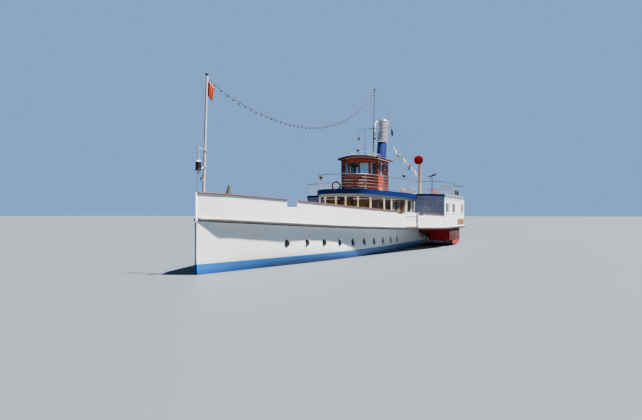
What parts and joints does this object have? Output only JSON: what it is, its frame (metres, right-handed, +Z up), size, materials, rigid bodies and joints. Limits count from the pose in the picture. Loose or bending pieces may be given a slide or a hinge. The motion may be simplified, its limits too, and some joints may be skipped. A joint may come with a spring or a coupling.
{
  "type": "paddle steamer, half-size scale model",
  "caption": "Side-wheel lake steamer afloat: slim plumb-bow hull, glazed saloon under a sun deck, wooden wheelhouse, raked funnel, two masts and paddle wheels in side houses.",
  "frame": {"origin": "amidships on the centreline, at the waterline the ship floats on", "axes": "+X forward to the stem, +Y to port, +Z up"},
  "size_m": [24.0075, 5.3648, 6.5114],
  "materials": {
    "hull_white": "semi-gloss white marine paint, lightly streaked",
    "house_white": "satin white paint on panelled steel",
    "header_grey": "satin pale grey paint",
    "rail_paint": "semi-gloss white paint on tube",
    "navy_paint": "semi-gloss navy blue paint",
    "red_paint": "matt red paint, worn by water",
    "black_paint": "satin black paint",
    "machine_iron": "oiled dark iron",
    "bright_steel": "turned steel",
    "silver_paint": "bright aluminium paint",
    "mahogany": "varnished mahogany",
    "deck_teak": "scrubbed planking",
    "cap_wood": "dark oiled hardwood",
    "mast_paint": "white paint on tapered tube",
    "canvas": "grey proofed canvas",
    "flag_cloth": "light woven bunting",
    "cord_black": "weathered black cable",
    "window_glass": "clear window glass",
    "lamp_glass": "clear lamp bulb",
    "brass": "polished brass"
  },
  "bodies": {
    "ship": {"hull_bow": "hull_white", "hull": "hull_white", "machinery": "machine_iron", "main_deck_fore": "deck_teak", "main_deck_waist": "deck_teak", "main_deck_sponson": "deck_teak", "main_deck_aft": "deck_teak", "hatch_coaming": "deck_teak", "bulwark_fore_port": "hull_white", "bulwark_fore_starboard": "hull_white", "bulwark_mid_port": "hull_white", "bulwark_mid_starboard": "hull_white", "bulwark_aft": "hull_white", "sponson_house_port": "house_white", "sponson_house_starboard": "house_white", "sponson_frame_port": "red_paint", "sponson_frame_starboard": "red_paint", "saloon_front": "house_white", "saloon_side_port": "house_white", "saloon_side_starboard": "house_white", "saloon_aft": "house_white", "deck_pillars": "header_grey", "sun_deck": "navy_paint", "sun_deck_aft": "navy_paint", "railing_fore": "rail_paint", "railing_sponson_port": "rail_paint", "railing_sponson_starboard": "rail_paint", "railing_aft": "rail_paint", "stair": "deck_teak", "wheelhouse_roof": "mahogany", "wheelhouse_walls": "mahogany", "helm_stand": "mahogany", "funnel": "navy_paint", "bow_mast": "mast_paint", "main_mast": "mast_paint", "light_string": "cord_black", "cowl_vent_port": "silver_paint", "cowl_vent_starboard": "silver_paint", "windlass_cover": "canvas", "bitts_fore_port": "black_paint", "bitts_fore_starboard": "black_paint", "bitts_aft_port": "black_paint", "bitts_aft_starboard": "black_paint", "bench_port": "deck_teak", "bench_starboard": "deck_teak", "ensign_staff": "mast_paint"},
    "paddle_wheels": {"paddle_wheel_port": "red_paint", "paddle_wheel_starboard": "red_paint", "paddle_shaft": "bright_steel"},
    "rudder": {"rudder": "black_paint"},
    "helm_wheel": {"helm_wheel": "mahogany"},
    "gangway_gate_port": {"gangway_gate_port": "hull_white"},
    "gangway_gate_starboard": {"gangway_gate_starboard": "hull_white"},
    "sponson_door_port": {"sponson_door_port": "house_white"},
    "sponson_door_starboard": {"sponson_door_starboard": "house_white"},
    "saloon_front_door": {"saloon_front_door": "mahogany"},
    "saloon_aft_door": {"saloon_aft_door": "mahogany"},
    "wheelhouse_door_port": {"wheelhouse_door_port": "mahogany"},
    "wheelhouse_door_starboard": {"wheelhouse_door_starboard": "mahogany"},
    "fore_hatch_lid": {"fore_hatch_lid": "deck_teak"}
  },
  "joints": [
    {"name": "paddle_spin", "type": "hinge", "parent": "ship", "child": "paddle_wheels", "pos_m": [-1.975, 0, 0.4], "axis": [0, 1, 0], "continuous": true},
    {"name": "rudder_turn", "type": "hinge", "parent": "ship", "child": "rudder", "pos_m": [-10.6, 0, -0.3], "axis": [0, 0, 1], "range_deg": [-35, 35]},
    {"name": "helm_turn", "type": "hinge", "parent": "ship", "child": "helm_wheel", "pos_m": [1.29, 0, 2.44], "axis": [1, 0, 0], "range_deg": [-280, 280]},
    {"name": "gangway_gate_port_slide", "type": "slide", "parent": "ship", "child": "gangway_gate_port", "axis": [0.9802, -0.1966, 0.0239], "range_m": [0, 0.9]},
    {"name": "gangway_gate_starboard_slide", "type": "slide", "parent": "ship", "child": "gangway_gate_starboard", "axis": [0.9802, 0.1966, 0.0239], "range_m": [0, 0.9]},
    {"name": "sponson_door_port_swing", "type": "hinge", "parent": "ship", "child": "sponson_door_port", "pos_m": [0.2, 1.989, 1.2], "axis": [0, 0, -1], "range_deg": [0, 95]},
    {"name": "sponson_door_starboard_swing", "type": "hinge", "parent": "ship", "child": "sponson_door_starboard", "pos_m": [0.2, -1.989, 1.2], "axis": [0, 0, 1], "range_deg": [0, 95]},
    {"name": "saloon_front_door_swing", "type": "hinge", "parent": "ship", "child": "saloon_front_door", "pos_m": [3.2, 0.186, 1.25], "axis": [0, 0, 1], "range_deg": [0, 100]},
    {"name": "saloon_aft_door_swing", "type": "hinge", "parent": "ship", "child": "saloon_aft_door", "pos_m": [-8.5, 0.186, 1.25], "axis": [0, 0, -1], "range_deg": [0, 100]},
    {"name": "wheelhouse_door_port_swing", "type": "hinge", "parent": "ship", "child": "wheelhouse_door_port", "pos_m": [0.961, 0.65, 2.45], "axis": [0, 0, -1], "range_deg": [0, 100]},
    {"name": "wheelhouse_door_starboard_swing", "type": "hinge", "parent": "ship", "child": "wheelhouse_door_starboard", "pos_m": [0.961, -0.65, 2.45], "axis": [0, 0, 1], "range_deg": [0, 100]},
    {"name": "fore_hatch_lid_lift", "type": "hinge", "parent": "ship", "child": "fore_hatch_lid", "pos_m": [7.9, 0, 1.12207], "axis": [0, -1, 0], "range_deg": [0, 100]}
  ],
  "couplings": [
    {"joint": "helm_turn", "follows": "rudder_turn", "ratio": 8}
  ]
}
